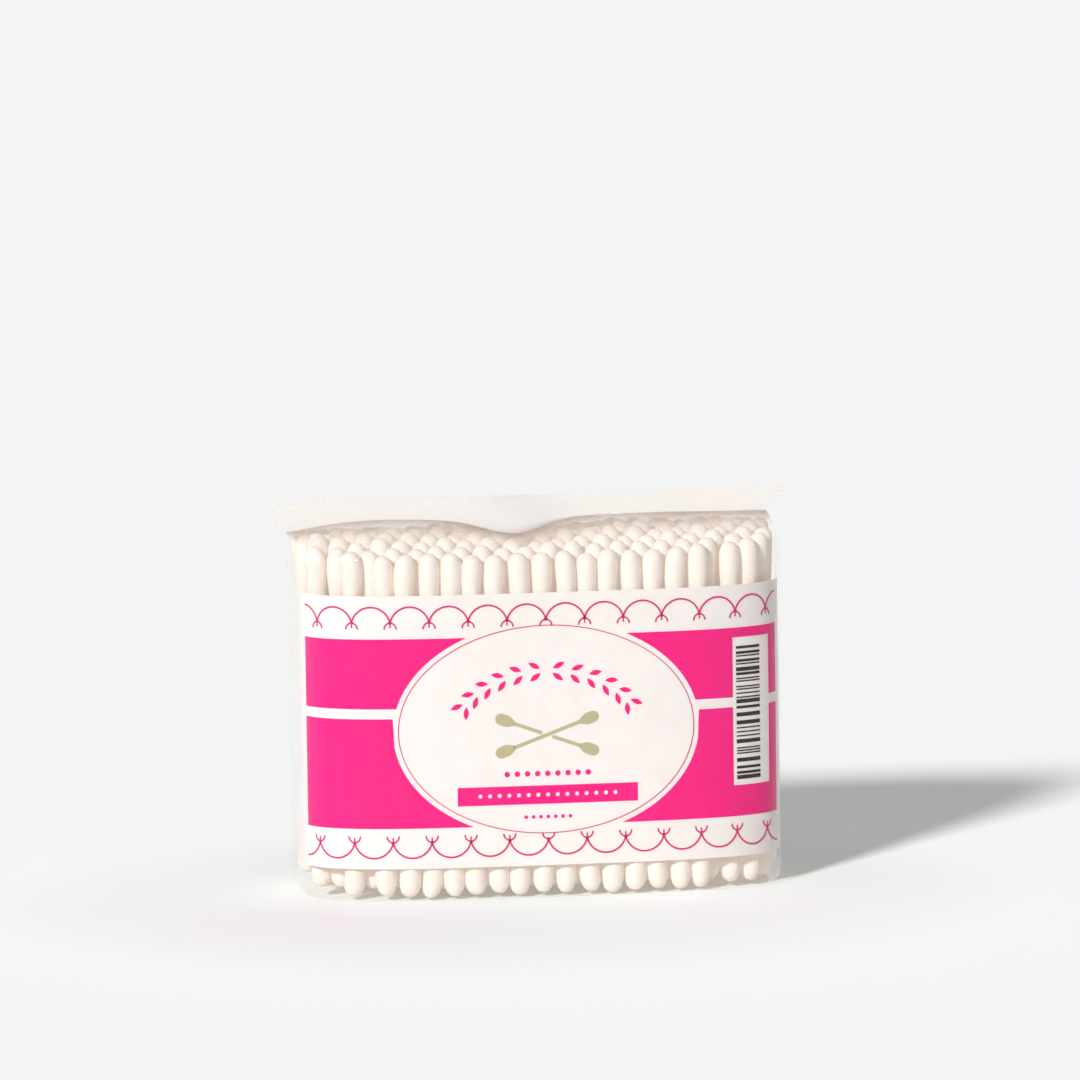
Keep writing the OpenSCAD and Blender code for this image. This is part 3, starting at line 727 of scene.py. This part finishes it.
def field_parts(label):
    """Four colour fields: between the oval, the stripe and the artwork's ends, round the panel."""
    a = art(label)
    parts = []

    def oval(s):
        return a.oval_h * np.sqrt(np.maximum(0, 1 - (s / label.oval_a) ** 2))

    for left in (False, True):
        for upper in (True, False):
            edge = a.field_high - a.middle if upper else a.middle - a.field_low
            cross = label.oval_a * math.sqrt(1 - (edge / a.oval_h) ** 2) + 0.12
            stops = [np.linspace(cross, label.oval_a, 60)]
            if left:
                stops.append(np.linspace(label.oval_a + 0.1, a.half, 60))
            else:
                stops.append(np.linspace(label.oval_a + 0.1, a.panel_left, 24))
                stops.append(np.linspace(a.panel_left + 0.02, a.panel_right - 0.02, 16))
                stops.append(np.linspace(a.panel_right, a.half, 12))
            s = np.concatenate(stops)
            over = (s > a.panel_left + 0.01) & (s < a.panel_right - 0.01) & (not left)
            if upper:
                low = np.where(over, a.panel_high, np.maximum(a.stripe_top, a.middle + oval(s)))
                high = np.full(len(s), a.field_high)
            else:
                low = np.full(len(s), a.field_low)
                under = np.minimum(a.stripe_bottom, a.middle - oval(s))
                high = np.where(over, a.panel_low, np.where(s < label.oval_a, under, a.stripe_bottom))
            if left:
                s, low, high = -s[::-1], low[::-1], high[::-1]
            parts.append(inked(stacked(s, low), stacked(s, high)))
    return parts


def border_parts(label):
    """Two borders of circle arcs, with a knot, a bow and a tick at each point where two arcs meet."""
    a = art(label)
    parts = []
    half = label.scallop_w / 2
    for z, up in ((label.high - label.scallop_in, 1), (label.low + label.scallop_in, -1)):
        for k in range(label.scallops + 1):
            centre = (k - label.scallops / 2) * label.scallop_w
            size = (half**2 + label.scallop_h**2) / (2 * label.scallop_h)
            reach = math.asin(half / size)
            turn = np.linspace(-reach, reach, 27)
            s = centre + size * np.sin(turn)
            keep = np.abs(s) <= a.half + 0.01
            path = stacked(s, z + up * (label.scallop_h - size * (1 - np.cos(turn))))[keep]
            parts.append(stroke(path, label.line_w / 2))
        for k in range(label.scallops):
            s = (k + 0.5 - label.scallops / 2) * label.scallop_w
            turn = np.radians(np.linspace(0, 180, 13))
            bow = stacked(s - 1.3 * np.cos(turn), z - up * (1.45 - 1.4 * np.sin(turn)))
            parts.append(stroke(bow, label.line_w * 0.45))
            parts.extend(dot_parts(z, 1, 1.0, 0.4, s))
            if abs(s) > half:
                tick = np.array([[s, z - up * 0.3], [s, z - up * 0.7], [s, z - up * 1.15]])
                parts.append(stroke(tick, label.line_w * 0.4))
    return parts


def ring_part(label):
    """Thin ring inside the white oval, as one long stroke that meets itself."""
    a = art(label)
    turn = np.linspace(0, 2 * np.pi, 240)
    wide, tall = label.oval_a - 1.2, a.oval_h - 1.2
    path = stacked(-wide * np.cos(turn), a.middle + tall * np.sin(turn))
    return [stroke(path, label.line_w / 4)]


def leaf_parts(label):
    """Arch of leaf pairs over the middle: each leaf is a stroke whose half width is a sine of its length."""
    a = art(label)
    parts = []
    for side in (-1, 1):
        for k in range(6):
            t = math.radians(90 - side * (7 + 11 * k))
            middle = np.array([ARCH_W * math.cos(t), a.middle - 2.5 + ARCH_H * math.sin(t)])
            across = np.array([math.cos(t) / ARCH_W, math.sin(t) / ARCH_H])
            across = across / np.linalg.norm(across)
            turn = math.atan2(across[1], across[0]) - side * math.pi / 2
            for out in (-1, 1):
                lean = turn + out * side * math.radians(32)
                run = np.linspace(-0.5, 0.5, 12)
                along = np.array([math.cos(lean), math.sin(lean)])
                path = middle + 1.25 * out * across + 2.7 * run[:, None] * along
                parts.append(stroke(path, 0.06 + 0.5 * np.cos(np.pi * run)))
    return parts


def dot_parts(z, count, apart, radius, middle=0.0):
    """Row of round dots: each a stroke whose half width is that of a circle."""
    run = np.linspace(-0.98, 0.98, 10)
    return [
        stroke(stacked(s + radius * run, z), radius * np.sqrt(1 - run**2))
        for s in middle + (np.arange(count) - (count - 1) / 2) * apart
    ]


def icon_parts(label):
    """Two crossed swabs drawn in outline proportions: thin stick, and heads wide near their ends."""
    a = art(label)
    centre = np.array([0, a.middle - 1.2])
    parts = []
    for lean, broken in ((20, False), (-20, True)):
        along = np.array([math.cos(math.radians(lean)), math.sin(math.radians(lean))])
        for side in (-1, 1):
            run = 1 - (1 - np.linspace(0, 0.985, 26)) ** 1.4
            head = centre + side * along * (7.4 + 4.5 * run)[:, None]
            swell = 0.4 + 0.85 * np.sin(np.pi / 2 * np.minimum(run / 0.45, 1)) ** 1.3
            tip = np.sqrt(np.maximum(0, 1 - np.maximum(0, (run - 0.66) / 0.34) ** 2.4))
            parts.append(stroke(head, swell * tip))
            if broken:
                parts.append(stroke(centre + side * along * np.array([[1.2], [4.5], [7.8]]), 0.38))
        if not broken:
            parts.append(stroke(centre + along * np.array([[-7.8], [0.0], [7.8]]), 0.38))
    return parts


def bar_parts(label):
    """Plain bars of uneven thickness, which mean nothing, stacked up the panel."""
    a = art(label)
    dice = np.random.default_rng(9)
    s = np.linspace(a.panel_left + 0.9, a.panel_left + 7.1, 10)
    parts, z = [], a.panel_low + 1.3
    while True:
        thick = dice.choice([0.28, 0.56, 0.84], p=[0.5, 0.32, 0.18])
        gap = dice.choice([0.3, 0.6, 0.9], p=[0.45, 0.35, 0.2])
        if z + thick > a.panel_high - 1.3:
            return parts
        parts.append(stroke(stacked(s, z + thick / 2), thick / 2))
        z += thick + gap


def build_print():
    """Makes the print, one piece for each colour field or motif."""
    label = sizes("swab_label")
    a = art(label)
    pink = ink_material("pink_offset_ink", label.pink, 0.07, 0.36)
    rose = ink_material("rose_offset_ink", label.rose, 0.07, 0.36)
    khaki = ink_material("khaki_offset_ink", label.khaki, 0.05, 0.4)
    black = ink_material("black_offset_ink", label.black, 0.1, 0.4)
    white = ink_material("white_offset_ink", label.paper, 0.03, 0.4)
    bar_z = a.middle - 14.2
    bar = stroke(stacked(np.linspace(-19.6, 19.6, 40), bar_z), 2.0)
    motifs = leaf_parts(label) + dot_parts(a.middle - 9.6, 9, 2.2, 0.6)
    motifs = motifs + dot_parts(a.middle - 19, 7, 1.6, 0.4)
    groups = (
        ("pink_fields", field_parts(label), pink, ["pink_print"], "pink_ink"),
        ("pink_borders", border_parts(label), rose, [], "pink_ink"),
        ("pink_ring", ring_part(label), rose, [], "pink_ink"),
        ("pink_leaves", motifs, pink, [], "pink_ink"),
        ("pink_bar", [bar], pink, [], "pink_ink"),
        ("khaki_swabs", icon_parts(label), khaki, ["khaki_print"], "khaki_ink"),
        ("black_bars", bar_parts(label), black, ["black_print"], "black_ink"),
    )
    for name, parts, ink, nodes, slot in groups:
        points, faces = joined(parts)
        add_piece(name, points, faces, [ink], nodes)
    points, faces = joined(dot_parts(bar_z, 15, 2.1, 0.42))
    points = points + np.array([0, -0.05, 0])
    add_piece("white_dots", points, faces, [white], [])


# The swabs
def stick_ends(row):
    """Lower and upper end of every stick in a row, from the solid's own mesh.

    Each vertex takes the lowest number among its neighbours until nothing changes, which parts the sticks.
    """
    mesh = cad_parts[f"sticks_row_{row:02d}"].data
    places = np.empty(len(mesh.vertices) * 3)
    mesh.vertices.foreach_get("co", places)
    places = places.reshape(-1, 3) / MM
    ends = np.empty(len(mesh.edges) * 2, dtype=np.int64)
    mesh.edges.foreach_get("vertices", ends)
    ends = ends.reshape(-1, 2)
    group = np.arange(len(places))
    while True:
        least = group.copy()
        np.minimum.at(least, ends[:, 0], group[ends[:, 1]])
        np.minimum.at(least, ends[:, 1], group[ends[:, 0]])
        if (least == group).all():
            break
        group = least
    lows, tops = [], []
    for number in np.unique(group):
        these = places[group == number]
        if np.ptp(these[:, 2]) < 10:
            continue
        middle = (these[:, 2].min() + these[:, 2].max()) / 2
        lows.append(these[these[:, 2] < middle].mean(axis=0))
        tops.append(these[these[:, 2] > middle].mean(axis=0))
    return np.array(lows), np.array(tops)


def head_shape(swab, dice, count):
    """Distance from the tip and radius of each ring of a head, for many heads at once.

    Dome: radius R (1 - u^3)^0.45 at distance D (1 - u). Taper: R less a share w^p of its loss by its end.
    """
    u = np.array([0.93, 0.74, 0.45, 0.0])
    w = np.array([0.3, 0.62, 0.9, 1.0])
    wide = swab.head_d / 2 * (1 + swab.uneven * dice.uniform(-1, 0.25, (count, 1)))
    long = swab.head_len * (1 + 1.2 * swab.uneven * dice.uniform(-1, 1, (count, 1)))
    dome = swab.head_dome * dice.uniform(0.85, 1.15, (count, 1))
    power = dice.uniform(1.2, 1.9, (count, 1))
    end = swab.head_end_d / 2 * dice.uniform(0.94, 1.08, (count, 1))
    down = np.concatenate([dome * (1 - u), dome + (long - dome) * w], axis=1)
    radius = np.concatenate([wide * (1 - u**3) ** 0.45, wide - (wide - end) * w**power], axis=1)
    radius[:, -1] = swab.stick_d / 2 + 0.05
    return down, radius


def head_meshes(swab, tips, inward, seed):
    """Cotton heads as surfaces of revolution, each from its tip along its stick, slightly lumpy.

    A point is tip + axis * distance + radius * (cos a * side + sin a * other side). A small random step
    bends the tip by (1 - distance / 10)^2, and another the middle by sin(pi distance / length).
    """
    dice = np.random.default_rng(seed)
    count, around = len(tips), 12
    down, radius = head_shape(swab, dice, count)
    side = np.cross(inward, [0.0, 1.0, 0.0])
    side = side / np.linalg.norm(side, axis=1)[:, None]
    other = np.cross(inward, side)
    angle = np.arange(around) * 2 * np.pi / around + dice.uniform(0, 2 * np.pi, (count, 1))
    lump = 1 + swab.uneven * 0.7 * dice.uniform(-1, 1, (count, down.shape[1], around))
    lump[:, -1] = 1
    reach = radius[:, :, None] * lump
    bend = dice.uniform(-1, 1, (count, 1, 1, 3)) * [0.35, 0.2, 0]
    belly = dice.uniform(-1, 1, (count, 1, 1, 3)) * [0.5, 0.3, 0]
    slack = np.maximum(0, 1 - down / 10)[:, :, None, None] ** 2
    swell = np.sin(np.pi * np.minimum(down / down[:, -1:], 1))[:, :, None, None]
    tips = tips + bend[:, 0, 0]
    points = (
        tips[:, None, None, :]
        + bend * (slack - 1)
        + belly * swell
        + inward[:, None, None, :] * down[:, :, None, None]
        + reach[..., None]
        * (
            np.cos(angle)[:, None, :, None] * side[:, None, None, :]
            + np.sin(angle)[:, None, :, None] * other[:, None, None, :]
        )
    )
    rows = down.shape[1]
    each = rows * around
    quads = grid_quads(rows, around, True)
    k = np.arange(around)
    fan = stacked(each, (k + 1) % around, k)
    blocks = np.concatenate([points.reshape(count, each, 3), tips[:, None, :]], axis=1)
    turned = np.linalg.det(np.stack([side[0], other[0], inward[0]])) < 0
    if turned:
        quads, fan = quads[:, ::-1], fan[:, ::-1]
    shift = (np.arange(count) * (each + 1))[:, None, None]
    faces = (quads[None] + shift).reshape(-1, 4).tolist() + (fan[None] + shift).reshape(-1, 3).tolist()
    return blocks.reshape(-1, 3), faces


def build_heads(which):
    """Makes the upper or the lower cotton heads, one piece a row."""
    swab = sizes("swab_swabs")
    material = bpy.data.materials.get("wound_cotton") or cotton_material(swab)
    for row in range(1, ROWS + 1):
        low, top = stick_ends(row)
        axis = (top - low) / np.linalg.norm(top - low, axis=1)[:, None]
        dice = np.random.default_rng(70 + row)
        if which == "top":
            more = dice.uniform(-0.65, 0.45, (len(top), 1))
            tips, inward = top + axis * (swab.tip_cotton + more), -axis
        else:
            more = dice.uniform(-0.5, 0.0, (len(low), 1))
            tips, inward = low - axis * (swab.tip_cotton + more), axis
        points, faces = head_meshes(swab, tips, inward, 40 + row + (20 if which == "top" else 0))
        name, stood_for = f"{which}_cotton_row_{row:02d}", f"{which}_heads_row_{row:02d}"
        add_piece(name, points, faces, [material], [stood_for], sharp=80)


# The stage
def toward(azimuth, elevation):
    """Unit vector from the bag towards a place at an azimuth and an elevation."""
    level = math.cos(elevation)
    return Vector((math.sin(azimuth) * level, -math.cos(azimuth) * level, math.sin(elevation)))


def add_camera(stage):
    """Camera at the fitted view: the bag's middle lands left of and below the picture's middle."""
    middle = Vector((0, 0, 0.0493))
    back = toward(stage.azimuth, stage.elevation)
    level = Vector((math.cos(stage.azimuth), math.sin(stage.azimuth), 0))
    upright = back.cross(level)
    right = level * math.cos(stage.roll) - upright * math.sin(stage.roll)
    up = upright * math.cos(stage.roll) + level * math.sin(stage.roll)
    pixel = stage.width * MM / PICTURE
    place = middle + back * stage.distance * MM
    aim = middle + right * AIM_RIGHT * pixel + up * AIM_UP * pixel
    behind = (place - aim).normalized()
    across = (right - behind * right.dot(behind)).normalized()
    over = behind.cross(across)
    camera = bpy.data.cameras.new("view")
    camera.sensor_width = 36
    camera.lens = 36 * stage.distance / stage.width
    camera.clip_end = 50
    seat = placed("view", camera)
    turn = Matrix((across, over, behind)).transposed().to_4x4()
    seat.matrix_world = Matrix.Translation(place) @ turn
    bpy.context.scene.camera = seat


def add_softbox(name, azimuth, elevation, far, size, tall, power):
    """Soft lamp that only gloss shows, for the glare on the film."""
    lamp = bpy.data.lights.new(name, "AREA")
    lamp.shape, lamp.size, lamp.size_y, lamp.energy = "RECTANGLE", size, tall, power
    seat = placed(name, lamp)
    seat.location = toward(math.radians(azimuth), math.radians(elevation)) * far + Vector((0, 0, 0.04))
    seat.rotation_euler = (Vector((0, 0, 0.04)) - seat.location).to_track_quat("-Z", "Y").to_euler()
    seat.visible_camera = False
    seat.visible_diffuse = False


def build_stage():
    """Makes the floor, the lamps, the world and the camera."""
    stage = sizes("swab_stage")
    mesh = bpy.data.meshes.new("floor")
    corners = [(FLOOR_HALF * x, FLOOR_HALF * y, 0) for x, y in ((-1, -1), (1, -1), (1, 1), (-1, 1))]
    mesh.from_pydata(corners, [], [(0, 1, 2, 3)])
    mesh.materials.append(floor_material(stage))
    floor = placed("floor", mesh)
    sun = bpy.data.lights.new("key", "SUN")
    sun.energy, sun.angle = SUN_ENERGY, math.radians(SUN_ANGLE)
    ahead = -toward(math.radians(SUN_AZIMUTH), math.radians(SUN_ELEVATION))
    placed("key", sun).rotation_euler = ahead.to_track_quat("-Z", "Y").to_euler()
    for softbox in SOFTBOXES:
        add_softbox(*softbox)
    world = bpy.data.worlds.new("studio")
    bpy.context.scene.world = world
    world.use_nodes = True
    tree = world.node_tree
    tree.nodes.clear()
    shown = add_node(tree, "ShaderNodeBackground", {"Color": stage.floor, "Strength": 1.0}).outputs[0]
    lit = add_node(tree, "ShaderNodeBackground", {"Color": (1, 1, 1, 1), "Strength": 0.29}).outputs[0]
    add_node(tree, "ShaderNodeOutputWorld", {"Surface": blend(tree, seen_rays(tree), lit, shown)})
    bpy.context.scene.view_settings.view_transform = "Standard"
    add_camera(stage)


class SWAB_OT_stage(bpy.types.Operator):
    """Makes the floor, the light and the camera"""

    bl_idname = "swab.stage"
    bl_label = "Stage"

    def execute(self, context):
        build_stage()
        return {"FINISHED"}


class SWAB_OT_film(bpy.types.Operator):
    """Makes the clear film bag with its welded seal"""

    bl_idname = "swab.film"
    bl_label = "Film Bag"

    def execute(self, context):
        build_film()
        return {"FINISHED"}


class SWAB_OT_card(bpy.types.Operator):
    """Makes the card label"""

    bl_idname = "swab.card"
    bl_label = "Card Label"

    def execute(self, context):
        build_card()
        return {"FINISHED"}


class SWAB_OT_print(bpy.types.Operator):
    """Makes the print on the label"""

    bl_idname = "swab.print"
    bl_label = "Print"

    def execute(self, context):
        build_print()
        return {"FINISHED"}


class SWAB_OT_sticks(bpy.types.Operator):
    """Gives the sticks their rolled paper"""

    bl_idname = "swab.sticks"
    bl_label = "Sticks"

    def execute(self, context):
        material = stick_material(sizes("swab_swabs"))
        for row in range(1, ROWS + 1):
            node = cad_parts[f"sticks_row_{row:02d}"]
            for slot in node.material_slots:
                slot.material = material
        return {"FINISHED"}


class SWAB_OT_top_heads(bpy.types.Operator):
    """Makes the upper cotton heads"""

    bl_idname = "swab.top_heads"
    bl_label = "Upper Heads"

    def execute(self, context):
        build_heads("top")
        return {"FINISHED"}


class SWAB_OT_low_heads(bpy.types.Operator):
    """Makes the lower cotton heads"""

    bl_idname = "swab.low_heads"
    bl_label = "Lower Heads"

    def execute(self, context):
        build_heads("low")
        return {"FINISHED"}


class SWAB_PT_panel(bpy.types.Panel):
    """Lists the pieces and their sizes"""

    bl_idname = "SWAB_PT_panel"
    bl_label = "Swab Bag"
    bl_space_type = "VIEW_3D"
    bl_region_type = "UI"
    bl_category = "Swab Bag"

    def draw(self, context):
        for maker in MAKERS:
            self.layout.operator(maker.bl_idname)
        for name in GROUPS:
            group = getattr(context.scene, name)
            box = self.layout.box()
            for key in group.bl_rna.properties.keys():
                if key not in ("rna_type", "name"):
                    box.prop(group, key)


MAKERS = (
    SWAB_OT_stage,
    SWAB_OT_film,
    SWAB_OT_card,
    SWAB_OT_print,
    SWAB_OT_sticks,
    SWAB_OT_top_heads,
    SWAB_OT_low_heads,
)
GROUPS = {"swab_bag": BagSizes, "swab_label": LabelSizes, "swab_swabs": SwabSizes, "swab_stage": StageSizes}


def register():
    for group in GROUPS.values():
        bpy.utils.register_class(group)
    for name, group in GROUPS.items():
        setattr(bpy.types.Scene, name, PointerProperty(type=group))
    for maker in MAKERS:
        bpy.utils.register_class(maker)
    bpy.utils.register_class(SWAB_PT_panel)


def unregister():
    bpy.utils.unregister_class(SWAB_PT_panel)
    for maker in reversed(MAKERS):
        bpy.utils.unregister_class(maker)
    for name, group in GROUPS.items():
        delattr(bpy.types.Scene, name)
        bpy.utils.unregister_class(group)


def main():
    """Registers the classes and makes every piece in order."""
    register()
    bpy.ops.swab.stage()
    bpy.ops.swab.film()
    bpy.ops.swab.card()
    bpy.ops.swab.print()
    bpy.ops.swab.sticks()
    bpy.ops.swab.top_heads()
    bpy.ops.swab.low_heads()


if __name__ == "__main__":
    main()
